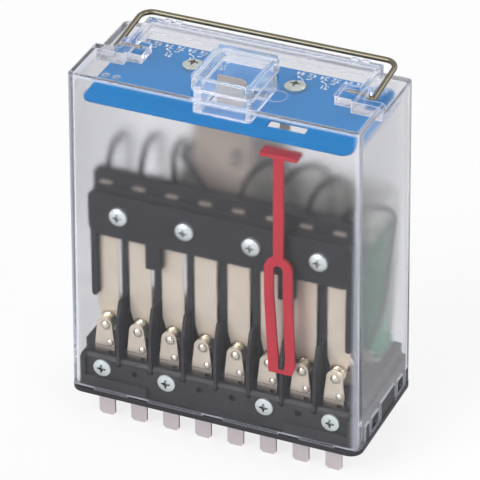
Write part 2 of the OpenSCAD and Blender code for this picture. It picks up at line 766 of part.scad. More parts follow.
module manual_lever() color([0.76, 0.7, 0.63]) {
    z0 = pivot_z + 4;
    z1 = label_z - 4.2;
    difference() {
        wall_xz(lever_y, lever_t) {
            polygon([[lever_x - 5.1, pivot_z - 3], [lever_x + 5.1, pivot_z - 3],
                [lever_x + 5.1, z0 + 1], [lever_x - 5.1, z0 + 1]]);
            difference() {
                rrect(lever_x - lever_w / 2, lever_x + lever_w / 2, z0, z1, 2.4);
                translate([lever_x + 3, z0 + 10]) square([3.4, 5.4]);
            }
            polygon([[tab_x0, z1 - 1], [tab_x1, z1 - 1], [tab_x1, lever_top - 2],
                [tab_x1 - 1.2, lever_top], [tab_x0 + 1, lever_top], [tab_x0, lever_top - 1]]);
        }
        // eased top edge of the tab
        translate([0, lever_y, lever_top]) rotate([-45, 0, 0])
            box([-9, -2, -0.25], [9, 2, 3]);
    }
}

// ---------- position flag ----------

module position_flag() color([0.78, 0.2, 0.27]) {
    px = barrier_x(5);
    pz = flag_pivot_z;
    foot_z = pz - 1.2;
    leg_z = bar_z0 - 5;
    wall_xz(flag_y, flag_t) {
        translate([flag_x - 1.45, fork_z + 3]) square([2.9, flag_top - fork_z - 3]);
        difference() {
            union() {
                translate([flag_x, fork_z]) circle(fork_r);
                translate([flag_x - fork_r, leg_z]) square([2 * fork_r, fork_z - leg_z]);
            }
            translate([flag_x, fork_z]) circle(fork_in);
            translate([flag_x - fork_in, leg_z - 1]) square([2 * fork_in, fork_z - leg_z + 1]);
        }
        // legs that lean a little to the right and join at the foot, in front of the barrier
        difference() {
            polygon([[flag_x - fork_r, leg_z + eps], [flag_x + fork_r, leg_z + eps],
                [px + 4.1, foot_z + 2.8], [px + 3.1, foot_z], [px - 3.8, foot_z]]);
            polygon([[flag_x - fork_in, leg_z + 1], [flag_x + fork_in, leg_z + 1],
                [px + 1.2, foot_z + 5], [px + 0.8, foot_z + flag_foot],
                [px - 0.8, foot_z + flag_foot], [px - 1, foot_z + 5]]);
        }
    }
    // head plate, lying level under the window
    box([flag_x - 5.5, flag_y, flag_top - 1.1],
        [flag_x - 5.5 + flag_head_w, flag_y + 4.2, flag_top]);
    // bosses and pin around the barrier
    for (x = [[px - 1.7, px - 0.75], [px + 0.75, px + 1.7]]) {
        box([x[0], flag_y + flag_t - eps, pz - 0.9], [x[1], flag_pivot_y, pz + 0.9]);
        rod_x(x[0], x[1], flag_pivot_y, pz, 0.9);
    }
    rod_x(px - 1, px + 1, flag_pivot_y, pz, 0.6);
}

// ---------- wire bail ----------

module wire_bail() color([0.5, 0.47, 0.38]) {
    bend = 3.6;
    translate([0, bail_y, bail_z]) rotate([bail_lift, 0, 0]) {
        for (s = [-1, 1]) {
            rod_x(s > 0 ? bail_x - bail_hook : -bail_x, s > 0 ? bail_x : -bail_x + bail_hook,
                  0, 0, wire_r);
            translate([s * bail_x, 0, 0]) sphere(wire_r);
            rod_y(s * bail_x, 0, bail_l - bend, 0, wire_r);
        }
        rod_x(-bail_x + bend, bail_x - bend, bail_l, 0, wire_r);
        translate([bail_x - bend, bail_l - bend, 0])
            rotate_extrude(angle = 90) translate([bend, 0]) circle(wire_r);
        translate([-bail_x + bend, bail_l - bend, 0]) rotate(90)
            rotate_extrude(angle = 90) translate([bend, 0]) circle(wire_r);
    }
}

// ---------- flexible leads ----------

// Where each lead passes the rocking shaft and how high it arches
lead_r = 0.8;
lead_pass_x = [pole_x(0), pole_x(1), lever_x - 12.8, lever_x - 10.4, pole_x(4) + 9,
    pole_x(5) + 11, pole_x(6) + 6, in_x(coil_z1) - 1.6];
lead_arch = [6.8, 8.8, 9.2, 8, 8.5, 10, 7.5, 4.6];
lead_drop = [0, 0, 0, 0, 0, 0, 0, 10];
lead_y0 = bar_y1 - 1.8;
lead_y1 = common_y + strip_t / 2;
lead_back_y = [for (i = [0:7]) i == 7 ? coil_y - 0.4 : lead_y1];

function mix(a, b, t) = a + (b - a) * t;
function clamp01(t) = min(1, max(0, t));

// Centre of ring k of lead i: an arch over the shaft, then down to the terminal
function lead_point(i, k) = let(
        x0 = pole_x(i), xp = lead_pass_x[i], yb = lead_back_y[i],
        t = k * 30, reach = i > 3 ? 170 : 62,
        s = clamp01(t / reach), e = s * s * (3 - 2 * s))
    k <= 6
    ? [mix(x0, xp, e), mix(lead_y0, yb, (1 - cos(t)) / 2),
       bar_z2 + lead_arch[i] * sin(t) - lead_drop[i] * e]
    : k == 7 ? [xp, yb, pivot_z - 4]
    : k == 8 ? [mix(xp, x0, i == 7 ? 0.1 : 0.5), lead_y1, i == 7 ? 33 : 36]
    : [x0, lead_y1, block_z + 4.3];

// Direction of the lead at ring k
function lead_dir(i, k) =
    k == 0 ? [0, 0, 1] : k == 9 ? [0, 0, -1]
    : let(d = lead_point(i, k + 1) - lead_point(i, k),
          b = lead_point(i, k) - lead_point(i, k - 1), v = d / norm(d) + b / norm(b)) v / norm(v);

function ring(c, d, sides) = let(
        u0 = [1, 0, 0] - d * d[0], u = u0 / norm(u0), w = cross(d, u))
    [for (j = [0:sides - 1]) c + lead_r * (u * cos(360 * j / sides) + w * sin(360 * j / sides))];

module lead(i) color([0.13, 0.14, 0.17]) {
    n = 8;
    rings = 10;
    pts = [for (k = [0:rings - 1]) each ring(lead_point(i, k), lead_dir(i, k), n)];
    faces = concat(
        [[for (j = [0:n - 1]) j]],
        [for (k = [0:rings - 2], j = [0:n - 1]) let(a = k * n + j, b = k * n + (j + 1) % n)
            each [[a, a + n, b], [b, a + n, b + n]]],
        [[for (j = [n - 1:-1:0]) (rings - 1) * n + j]]);
    polyhedron(pts, faces);
}

// ---------- drawing ----------

cover();
turret_frame();
label_plate();
label_screws();
base();
terminal_strip();
strip_screws();
pole_barriers();
for (i = [0:poles - 1]) {
    front_contact(i);
    blade(i);
    lead(i);
}
front_contact_tips();
foot_rivets();
rear_contacts();
rear_contact_tips();
common_terminals();
coil_pins();
magnet_frame();
coil_bobbin();
coil_winding();
coil_core();
permanent_magnet();
front_bar();
rear_bar();
bar_screws();
blade_contacts();
carrier_hub();
pivot_shaft();
armature_plate();
manual_lever();
position_flag();
wire_bail();
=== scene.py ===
import logging
import math
from dataclasses import dataclass
from enum import Enum
from typing import ClassVar, Sequence

import bpy
from mathutils import Matrix, Vector

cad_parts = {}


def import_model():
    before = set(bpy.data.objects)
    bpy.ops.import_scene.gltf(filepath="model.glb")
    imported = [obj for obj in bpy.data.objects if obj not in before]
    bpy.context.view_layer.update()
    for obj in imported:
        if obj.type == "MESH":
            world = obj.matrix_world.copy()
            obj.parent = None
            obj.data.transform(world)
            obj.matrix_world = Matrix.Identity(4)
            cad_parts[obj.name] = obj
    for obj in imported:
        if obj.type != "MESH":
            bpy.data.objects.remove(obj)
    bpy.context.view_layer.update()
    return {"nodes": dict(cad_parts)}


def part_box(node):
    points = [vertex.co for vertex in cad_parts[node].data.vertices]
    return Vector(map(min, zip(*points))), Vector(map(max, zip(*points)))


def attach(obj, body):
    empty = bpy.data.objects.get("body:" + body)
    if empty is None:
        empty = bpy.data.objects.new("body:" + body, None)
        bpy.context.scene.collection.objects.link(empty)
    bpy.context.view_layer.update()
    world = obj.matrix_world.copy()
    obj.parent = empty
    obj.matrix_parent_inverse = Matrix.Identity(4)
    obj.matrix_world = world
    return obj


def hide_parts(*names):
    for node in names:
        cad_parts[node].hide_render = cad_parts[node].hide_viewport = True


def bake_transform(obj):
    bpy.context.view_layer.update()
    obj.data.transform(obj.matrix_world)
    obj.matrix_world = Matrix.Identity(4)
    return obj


LOG = logging.getLogger("relay")
MM = 0.001
Color = tuple[float, float, float]
Point = tuple[float, float, float]
Flat = tuple[float, float]
Span = tuple[float, float]
Node = bpy.types.Node
NodeTree = bpy.types.NodeTree
Socket = bpy.types.NodeSocket
Material = bpy.types.Material
Piece = bpy.types.Object

BEVEL_SAMPLES = 4
SHADE_SAMPLES = 6
RUB_GAIN = 6.0
SHADE_GAIN = 1.6
WAVE_UNIT = 20.0
POLES_X = (-35, -25, -15, -5, 5, 15, 25, 35)


# -------- node helpers


class Sheet:
    """A node tree with short calls for adding and joining nodes."""

    columns: ClassVar[int] = 12
    step: ClassVar[tuple[int, int]] = (180, -220)

    def __init__(self, tree: NodeTree) -> None:
        """Take the empty or cleared tree that the nodes go into."""
        self.tree = tree
        self._count = 0

    @classmethod
    def fresh(cls, owner: bpy.types.ID, kind: str) -> tuple["Sheet", Node]:
        """Start a material's or world's nodes anew.

        Args:
            owner: the material or world.
            kind: kind of its output node.

        Returns:
            The sheet to draw on and its output node.
        """
        owner.use_nodes = True
        owner.node_tree.nodes.clear()
        sheet = cls(owner.node_tree)
        return sheet, sheet.add(kind)

    def add(self, kind: str, **values: object) -> Node:
        """Add one node with its properties and inputs.

        Args:
            kind: the node's class name without the ShaderNode prefix.
            values: properties of the node, or what its inputs get where the name starts with
                "in_" (underscores stand for spaces).

        Returns:
            The new node.
        """
        node = self.tree.nodes.new(kind if kind.startswith("Node") else "ShaderNode" + kind)
        self._count += 1
        row, column = divmod(self._count, self.columns)
        node.location = (self.step[0] * column, self.step[1] * row)
        for name, value in values.items():
            if name.startswith("in_"):
                self.join(value, node.inputs[name[3:].replace("_", " ")])
            else:
                setattr(node, name, value)
        return node

    def join(self, source: object, target: Socket) -> None:
        """Feed an input.

        Args:
            source: the socket that feeds it, a plain value, or None to leave it as it is.
            target: the input.
        """
        if isinstance(source, Socket):
            self.tree.links.new(source, target)
        elif source is not None:
            target.default_value = source

    def place(self, group: NodeTree, **values: float) -> Node:
        """Put a shared effect into the tree with its own values.

        Args:
            group: the effect's node group.
            values: the group's inputs by name.

        Returns:
            The group node.
        """
        node = self.add("Group", node_tree=group)
        for name, value in values.items():
            self.join(value, node.inputs[name])
        return node

    def math(self, kind: str, a: object, b: object = None) -> Socket:
        """Add a Math node on sockets or numbers and give its output.

        Args:
            kind: the operation, such as MULTIPLY.
            a: first socket or number.
            b: second socket or number.

        Returns:
            The node's output socket.
        """
        node = self.add("Math", operation=kind)
        for slot, value in zip(node.inputs, (a, b)):
            self.join(value, slot)
        return node.outputs[0]

    def blend(self, mask: Socket, low: object, high: object) -> Socket:
        """Blend two colours by a mask.

        Args:
            mask: 0 for the low colour, 1 for the high one.
            low: first colour, or the socket that gives it.
            high: second colour, or the socket that gives it.

        Returns:
            The blended colour's socket.
        """
        node = self.add("Mix", data_type="RGBA")
        ends = [s for s in node.inputs if s.type == "RGBA"]
        for slot, value in zip(ends, (low, high)):
            self.join(value if isinstance(value, Socket) else (*value, 1), slot)
        self.join(mask, node.inputs[0])
        return next(s for s in node.outputs if s.type == "RGBA")

    def spread(self, socket: Socket, low: float, high: float) -> Socket:
        """Map a value from 0 to 1 onto the range from low to high."""
        return self.add("MapRange", in_Value=socket, in_To_Min=low, in_To_Max=high).outputs[0]

    def noise(self, place: Socket, scale: object, **values: float) -> Socket:
        """Add a noise texture with its inputs and give the socket of its value."""
        node = self.add("TexNoise", in_Vector=place, in_Scale=scale, **values)
        return node.outputs["Fac"]

    def either(self, share: Socket, first: Socket, second: Socket) -> Socket:
        """Mix two shaders.

        Args:
            share: share of the second shader.
            first: the first shader's socket.
            second: the second shader's socket.

        Returns:
            The mixed shader's socket.
        """
        mix = self.add("MixShader")
        for slot, source in zip(mix.inputs, (share, first, second)):
            self.join(source, slot)
        return mix.outputs[0]

    def capped(self, value: Socket, *factors: object) -> Socket:
        """Multiply a value by factors and stop at 1.

        Args:
            value: the value.
            factors: sockets or numbers.

        Returns:
            The product's socket, at most 1.
        """
        for factor in factors:
            value = self.math("MULTIPLY", value, factor)
        return self.math("MINIMUM", value, 1.0)

    def relief(self, height: Socket, strength: float, depth: float, edge: float = 0.0) -> Socket:
        """Bump the surface by a height, over edges that look rounded.

        Args:
            height: the height's socket.
            strength: share of the bump.
            depth: height of the bump in metres.
            edge: radius of the rounded edges in metres, or 0 for none.

        Returns:
            The normal's socket.
        """
        bump = self.add("Bump", in_Strength=strength, in_Distance=depth, in_Height=height)
        if edge:
            soft = self.add("Bevel", samples=BEVEL_SAMPLES, in_Radius=edge)
            self.join(soft.outputs["Normal"], bump.inputs["Normal"])
        return bump.outputs["Normal"]


def new_group(
    name: str, inputs: dict[str, float], outputs: Sequence[str],
) -> tuple[Sheet, Node, Node]:
    """Start a shared effect with named float inputs and outputs.

    Args:
        name: the group's name.
        inputs: input names and their defaults.
        outputs: output names.

    Returns:
        The sheet to draw on, the group's input node and its output node.
    """
    tree = bpy.data.node_groups.new(name, "ShaderNodeTree")
    for label, value in inputs.items():
        socket = tree.interface.new_socket(label, in_out="INPUT", socket_type="NodeSocketFloat")
        socket.default_value = value
    for label in outputs:
        tree.interface.new_socket(label, in_out="OUTPUT", socket_type="NodeSocketFloat")
    sheet = Sheet(tree)
    return sheet, sheet.add("NodeGroupInput"), sheet.add("NodeGroupOutput")


class Effects:
    """Surface effects that several finishes share, each built once as a node group."""

    def __init__(self) -> None:
        """Build all the groups."""
        self.grain = self._grain()
        self.streaks = self._streaks()
        self.rub = self._wear_and_highlight_edges()
        # Painted shade: ambient occlusion masks for corners and recesses, and for rings round what
        # sits on a piece.
        self.corner_shade = self._shade_mask("painted_corner_shade", True)
        self.seat = self._shade_mask("seat_shade", False)
        self.band = self._band()
        self.corner = self._corner()

    @staticmethod
    def _grain() -> NodeTree:
        """Fine mould texture with a slow cloud over it.

        Returns:
            The group's tree.
        """
        sheet, given, out = new_group(
            "moulded_grain", {"Scale": 3000.0, "Cloud": 60.0}, ("Height", "Cloud"),
        )
        place = sheet.add("TexCoord").outputs["Object"]
        fine = sheet.noise(place, given.outputs["Scale"], in_Detail=3.0, in_Roughness=0.6)
        slow = sheet.noise(place, given.outputs["Cloud"], in_Detail=4.0, in_Roughness=0.55)
        sheet.join(fine, out.inputs["Height"])
        sheet.join(slow, out.inputs["Cloud"])
        return sheet.tree

    @staticmethod
    def _streaks() -> NodeTree:
        """Long fine lines of rolled or drawn metal, run along Z, with soft stains.

        Returns:
            The group's tree.
        """
        sheet, given, out = new_group(
            "rolled_streaks", {"Scale": 2500.0, "Length": 0.03, "Stain": 150.0},
            ("Height", "Stain"),
        )
        place = sheet.add("TexCoord").outputs["Object"]
        squeeze = sheet.add("CombineXYZ", in_X=1.0, in_Y=1.0, in_Z=given.outputs["Length"])
        stretch = sheet.add("VectorMath", operation="MULTIPLY")
        sheet.join(place, stretch.inputs[0])
        sheet.join(squeeze.outputs[0], stretch.inputs[1])
        lines = sheet.noise(
            stretch.outputs[0], given.outputs["Scale"], in_Detail=3.0, in_Roughness=0.7,
        )
        stain = sheet.noise(
            place, given.outputs["Stain"], in_Detail=5.0, in_Roughness=0.6, in_Distortion=0.4,
        )
        sheet.join(lines, out.inputs["Height"])
        sheet.join(stain, out.inputs["Stain"])
        return sheet.tree

    @staticmethod
    def _wear_and_highlight_edges() -> NodeTree:
        """Mask of outer edges: rubbed bright by handling on mouldings, and holding the painted
        highlight on the clear cover.

        Returns:
            The group's tree.
        """
        sheet, given, out = new_group("edge_wear_and_highlight", {"Radius": 0.0003, "Strength": 1.0}, ("Mask",))
        soft = sheet.add("Bevel", samples=BEVEL_SAMPLES, in_Radius=given.outputs["Radius"])
        true = sheet.add("NewGeometry")
        dot = sheet.add("VectorMath", operation="DOT_PRODUCT")
        sheet.join(soft.outputs["Normal"], dot.inputs[0])
        sheet.join(true.outputs["Normal"], dot.inputs[1])
        turned = sheet.math("SUBTRACT", 1.0, dot.outputs["Value"])
        mask = sheet.capped(turned, RUB_GAIN, given.outputs["Strength"])
        sheet.join(mask, out.inputs["Mask"])
        return sheet.tree

    @staticmethod
    def _shade_mask(name: str, local: bool) -> NodeTree:
        """Mask of corners and recesses, where shade is painted in.

        Args:
            name: the group's name.
            local: whether only the piece itself counts, and not what sits on it.

        Returns:
            The group's tree.
        """
        sheet, given, out = new_group(name, {"Distance": 0.0006, "Strength": 1.0}, ("Mask",))
        near = sheet.add(
            "AmbientOcclusion", samples=SHADE_SAMPLES, only_local=local,
            in_Distance=given.outputs["Distance"],
        )
        closed = sheet.math("SUBTRACT", 1.0, near.outputs["AO"])
        mask = sheet.capped(closed, SHADE_GAIN, given.outputs["Strength"])
        sheet.join(mask, out.inputs["Mask"])
        return sheet.tree

    @staticmethod
    def _band() -> NodeTree:
        """Mask that runs from 1 to 0 between two heights, with a slightly uneven edge.

        Returns:
            The group's tree.
        """
        sheet, given, out = new_group(
            "height_band", {"Full": 0.0, "None": 0.001, "Wander": 0.0002}, ("Mask",),
        )
        place = sheet.add("TexCoord").outputs["Object"]
        height = sheet.add("SeparateXYZ", in_Vector=place).outputs["Z"]
        drift = sheet.noise(place, 400.0, in_Detail=2.0)
        centred = sheet.math("SUBTRACT", drift, 0.5)
        shift = sheet.math("MULTIPLY", centred, given.outputs["Wander"])
        spread = sheet.add(
            "MapRange", interpolation_type="SMOOTHSTEP", in_To_Min=1.0, in_To_Max=0.0,
            in_Value=sheet.math("ADD", height, shift),
            in_From_Min=given.outputs["Full"], in_From_Max=given.outputs["None"],
        )
        sheet.join(spread.outputs[0], out.inputs["Mask"])
        return sheet.tree

    def below(self, sheet: Sheet, span: Span, wander: float = 0.0) -> Socket:
        """Place the height band in a material.

        Args:
            sheet: the material's sheet.
            span: heights at which the mask is still full and is gone, in metres.
            wander: unevenness of the change, in metres.

        Returns:
            The mask's socket.
        """
        low, high = span
        band = sheet.place(self.band, **{"Full": low, "None": high, "Wander": wander})
        return band.outputs["Mask"]

    @staticmethod
    def _corner() -> NodeTree:
        """Mask of upright rounded corners: 1 where a face looks midway between X and Y.

        Returns:
            The group's tree.
        """
        sheet, given, out = new_group("upright_corner", {"Gain": 4.0}, ("Mask",))
        way = sheet.add("SeparateXYZ", in_Vector=sheet.add("NewGeometry").outputs["Normal"])
        both = sheet.math("MULTIPLY", way.outputs["X"], way.outputs["Y"])
        square = sheet.math("MULTIPLY", both, both)
        sheet.join(sheet.capped(square, given.outputs["Gain"]), out.inputs["Mask"])
        return sheet.tree


# -------- finishes


@dataclass(frozen=True)
class Finish:
    """What every finish has: a name and a way to become a material."""

    name: str

    def build(self, effects: Effects) -> Material:
        """Make the finish's material.

        Args:
            effects: the shared node groups.

        Returns:
            The finished material.
        """
        material = bpy.data.materials.new(self.name)
        sheet, end = Sheet.fresh(material, "OutputMaterial")
        sheet.join(self.surface(sheet, effects), end.inputs["Surface"])
        return material

    def surface(self, sheet: Sheet, effects: Effects) -> Socket:
        """Draw the surface and give its shader's socket. Each finish has its own."""
        raise NotImplementedError


@dataclass(frozen=True)
class Moulding(Finish):
    """Moulded plastic with a fine mould texture and edges rubbed a little paler."""

    color: Color
    worn: Color
    roughness: float = 0.45
    grain: float = 2600.0
    depth: float = 0.00002
    edge: float = 0.00025
    rub: float = 0.5
    gloss: float = 0.2
    cloud: float = 90.0
    mottle: float = 0.25
    swing: Span = (-0.08, 0.1)
    relief: float = 0.35

    def surface(self, sheet: Sheet, effects: Effects) -> Socket:
        """Draw the moulding: grain drives bump and gloss, rubbed edges drive colour.

        Args:
            sheet: the material's sheet.
            effects: the shared node groups.

        Returns:
            The shader's socket.
        """
        grain = sheet.place(effects.grain, Scale=self.grain, Cloud=self.cloud)
        rub = sheet.place(effects.rub, Radius=self.edge, Strength=self.rub)
        cloud = sheet.spread(grain.outputs["Cloud"], 0.0, self.mottle)
        mask = sheet.math("MAXIMUM", rub.outputs["Mask"], cloud)
        low, high = (self.roughness + change for change in self.swing)
        shader = sheet.add(
            "BsdfPrincipled", in_Specular_IOR_Level=self.gloss,
            in_Base_Color=sheet.blend(mask, self.color, self.worn),
            in_Roughness=sheet.spread(grain.outputs["Cloud"], low, high),
            in_Normal=sheet.relief(grain.outputs["Height"], self.relief, self.depth, self.edge),
        )
        return shader.outputs["BSDF"]


@dataclass(frozen=True)
class Metal(Finish):
    """Rolled, drawn or plated metal with fine lines, faint stains and shaded corners."""

    color: Color
    stain: Color
    roughness: float = 0.32
    scale: float = 2500.0
    length: float = 0.03
    depth: float = 0.000008
    edge: float = 0.00012
    metallic: float = 1.0
    # strength of the painted shade in corners and recesses
    corner_shade: float = 0.8
    reach: float = 0.0006
    stain_scale: float = 170.0
    stain_span: Span = (-0.35, 1.15)
    shade: float = 0.12
    swing: Span = (-0.1, 0.12)
    relief: float = 0.5

    def tone(self, sheet: Sheet, effects: Effects, lines: Node) -> Socket:
        """Draw the metal's colour.

        Args:
            sheet: the material's sheet.
            effects: the shared node groups.
            lines: the rolled lines' group node.

        Returns:
            The colour's socket.
        """
        tone = sheet.spread(lines.outputs["Stain"], *self.stain_span)
        # Painted shade: corners and recesses darken towards a dark copy of the stain colour.
        corner = sheet.place(effects.corner_shade, Distance=self.reach, Strength=self.corner_shade)
        clean = sheet.blend(tone, self.color, self.stain)
        dark = tuple(self.shade * v for v in self.stain)
        return sheet.blend(corner.outputs["Mask"], clean, dark)

    def surface(self, sheet: Sheet, effects: Effects) -> Socket:
        """Draw the metal: lines drive bump and gloss, stains and corners drive colour.

        Args:
            sheet: the material's sheet.
            effects: the shared node groups.

        Returns:
            The shader's socket.
        """
        lines = sheet.place(
            effects.streaks, Scale=self.scale, Length=self.length, Stain=self.stain_scale,
        )
        low, high = (self.roughness + change for change in self.swing)
        shader = sheet.add(
            "BsdfPrincipled", in_Metallic=self.metallic,
            in_Base_Color=self.tone(sheet, effects, lines),
            in_Roughness=sheet.spread(lines.outputs["Height"], low, high),
            in_Normal=sheet.relief(lines.outputs["Height"], self.relief, self.depth, self.edge),
        )
        return shader.outputs["BSDF"]


@dataclass(frozen=True)
class TerminalMetal(Metal):
    """Contact metal, shaded at the foot and round what sits on it, with a tinned plug pin."""

    pin: Color = (0.6, 0.54, 0.56)
    pin_z: Span = (0.0005, 0.002)
    pin_wander: float = 0.0001
    # Painted shade: colour of the foot, where the strip's shadow and reflection fall, and of the
    # rings round what sits on the metal.
    foot: Color = (0.12, 0.1, 0.085)
    foot_z: Span = (0.0122, 0.0168)
    foot_wander: float = 0.0006
    seat: float = 0.0005

    def tone(self, sheet: Sheet, effects: Effects, lines: Node) -> Socket:
        """Draw contact metal above, with painted shade at the foot and round what sits on it,
        tinned on the pin.

        Args:
            sheet: the material's sheet.
            effects: the shared node groups.
            lines: the rolled lines' group node.

        Returns:
            The colour's socket.
        """
        upper = super().tone(sheet, effects, lines)
        # Painted shade round rivets and where a blade enters the bar.
        seat = sheet.place(effects.seat, Distance=self.seat, Strength=1.0)
        ringed = sheet.blend(seat.outputs["Mask"], upper, self.foot)
        # Painted shade and reflection of the black strip at the foot.
        foot = effects.below(sheet, self.foot_z, self.foot_wander)
        pin = effects.below(sheet, self.pin_z, self.pin_wander)
        return sheet.blend(pin, sheet.blend(foot, ringed, self.foot), self.pin)


@dataclass(frozen=True)
class ClearMoulding(Finish):
    """Clear plastic, frosted on its walls, with painted highlights at its edges, which lets lamps
    through.
    """

    tint: Color = (0.86, 0.86, 0.875)
    clearness: float = 1.0
    ior: float = 1.3
    gloss: float = 0.06
    roughness: float = 0.165
    foot: float = 0.06
    foot_z: Span = (0.018, 0.085)
    foot_relief: float = 0.12
    smooth: float = 0.03
    smooth_z: Span = (0.0985, 0.1005)
    grain: float = 2600.0
    cloud: float = 40.0
    swing: Span = (0.9, 1.1)
    sparkle: float = 0.00018
    relief: float = 0.5
    edge: float = 0.001
    edge_gain: float = 3.0
    edge_roughness: float = 0.6
    corner_gain: float = 4.0
    # colour of the painted edge highlight, also used for the haze over the whole wall
    highlight_and_haze: Color = (0.64, 0.66, 0.76)
    edge_highlight_share: float = 0.4
    corner_highlight_share: float = 0.25
    haze: float = 0.0
    absorb: Color = (0.72, 0.74, 0.9)
    density: float = 15.0
    window: Color = (0.95, 0.95, 0.97)
    deepest: int = 7

    def build(self, effects: Effects) -> Material:
        """Make the material and tint its inside, so that long paths in a wall look lavender.

        Args:
            effects: the shared node groups.

        Returns:
            The finished material.
        """
        material = super().build(effects)
        sheet = Sheet(material.node_tree)
        end = next(n for n in sheet.tree.nodes if n.type == "OUTPUT_MATERIAL")
        inside = sheet.add("VolumeAbsorption", in_Color=(*self.absorb, 1), in_Density=self.density)
        sheet.join(inside.outputs[0], end.inputs["Volume"])
        return material

    def surface(self, sheet: Sheet, effects: Effects) -> Socket:
        """Draw glass for sight, and a pale window for shadow rays and rays trapped in a wall.

        Args:
            sheet: the material's sheet.
            effects: the shared node groups.

        Returns:
            The shader's socket.
        """
        frost = effects.below(sheet, self.smooth_z)
        foot = effects.below(sheet, self.foot_z)
        grain = sheet.place(effects.grain, Scale=self.grain, Cloud=self.cloud)
        # The edge mask places the painted highlight on the clear cover.
        edge = sheet.place(effects.rub, Radius=self.edge, Strength=self.edge_gain).outputs["Mask"]
        corner = sheet.place(effects.corner, Gain=self.corner_gain).outputs["Mask"]
        fade = sheet.math("MULTIPLY", frost, sheet.spread(foot, 1.0, self.foot_relief))
        height = sheet.math("MULTIPLY", fade, grain.outputs["Height"])
        shader = sheet.add(
            "BsdfPrincipled", in_Base_Color=(*self.tint, 1), in_Specular_IOR_Level=self.gloss,
            in_Transmission_Weight=self.clearness, in_IOR=self.ior,
            in_Roughness=self.frosting(sheet, frost, foot, grain, edge),
            in_Normal=sheet.relief(height, self.relief, self.sparkle),
        )
        # Painted highlight: a pale diffuse layer on edges and upright corners stands in for the
        # light that rounded edges reflect and refract; haze spreads the same layer over the whole
        # wall.
        at_edge = sheet.math("MULTIPLY", edge, self.edge_highlight_share)
        at_corner = sheet.math("MULTIPLY", corner, self.corner_highlight_share)
        share = sheet.math("MAXIMUM", sheet.math("MAXIMUM", at_edge, at_corner), self.haze)
        highlight_and_haze_bsdf = sheet.add("BsdfDiffuse", in_Color=(*self.highlight_and_haze, 1))
        skin = sheet.either(share, shader.outputs["BSDF"], highlight_and_haze_bsdf.outputs[0])
        window = sheet.add("BsdfTransparent", in_Color=(*self.window, 1))
        path = sheet.add("LightPath")
        deep = sheet.math("GREATER_THAN", path.outputs["Ray Depth"], self.deepest)
        passing = sheet.math("MAXIMUM", path.outputs["Is Shadow Ray"], deep)
        return sheet.either(passing, skin, window.outputs[0])

    def frosting(
        self, sheet: Sheet, frost: Socket, foot: Socket, grain: Node, edge: Socket,
    ) -> Socket:
        """Roughness: smooth on top, frosted on the walls, clearer at the foot, matt at edges.

        Args:
            sheet: the material's sheet.
            frost: mask of the walls, without the top.
            foot: mask of the foot.
            grain: the grain's group node.
            edge: mask of the edges.

        Returns:
            The roughness's socket.
        """
        even = sheet.spread(foot, self.roughness, self.foot)
        wall = sheet.math("MULTIPLY", even, sheet.spread(grain.outputs["Cloud"], *self.swing))
        rise = sheet.math("MULTIPLY", frost, sheet.math("SUBTRACT", wall, self.smooth))
        matt = sheet.math("MULTIPLY", edge, self.edge_roughness)
        return sheet.math("MAXIMUM", sheet.math("ADD", rise, self.smooth), matt)


@dataclass(frozen=True)
class Tape(Finish):
    """Adhesive tape wound round a coil, with the step of each turn."""

    color: Color
    shade: Color
    turn: float = 0.009
    wobble: float = 0.3
    film: float = 0.3
    film_roughness: float = 0.2
    roughness: Span = (0.25, 0.5)
    grain: float = 1800.0
    cloud: float = 200.0
    step: float = 0.0001
    relief: float = 0.5

    def surface(self, sheet: Sheet, effects: Effects) -> Socket:
        """Draw the tape: a slanted saw wave makes the lapped turns.

        Args:
            sheet: the material's sheet.
            effects: the shared node groups.

        Returns:
            The shader's socket.
        """
        wave = sheet.add(
            "TexWave", wave_type="BANDS", bands_direction="Z", wave_profile="SAW",
            in_Scale=math.tau / (WAVE_UNIT * self.turn), in_Distortion=self.wobble,
            in_Vector=sheet.add("TexCoord").outputs["Object"],
        ).outputs["Fac"]
        cloud = sheet.place(effects.grain, Scale=self.grain, Cloud=self.cloud).outputs["Cloud"]
        mask = sheet.math("MULTIPLY", wave, cloud)
        shader = sheet.add(
            "BsdfPrincipled", in_Coat_Weight=self.film, in_Coat_Roughness=self.film_roughness,
            in_Base_Color=sheet.blend(mask, self.color, self.shade),
            in_Roughness=sheet.spread(cloud, *self.roughness),
            in_Normal=sheet.relief(wave, self.relief, self.step),
        )
        return shader.outputs["BSDF"]


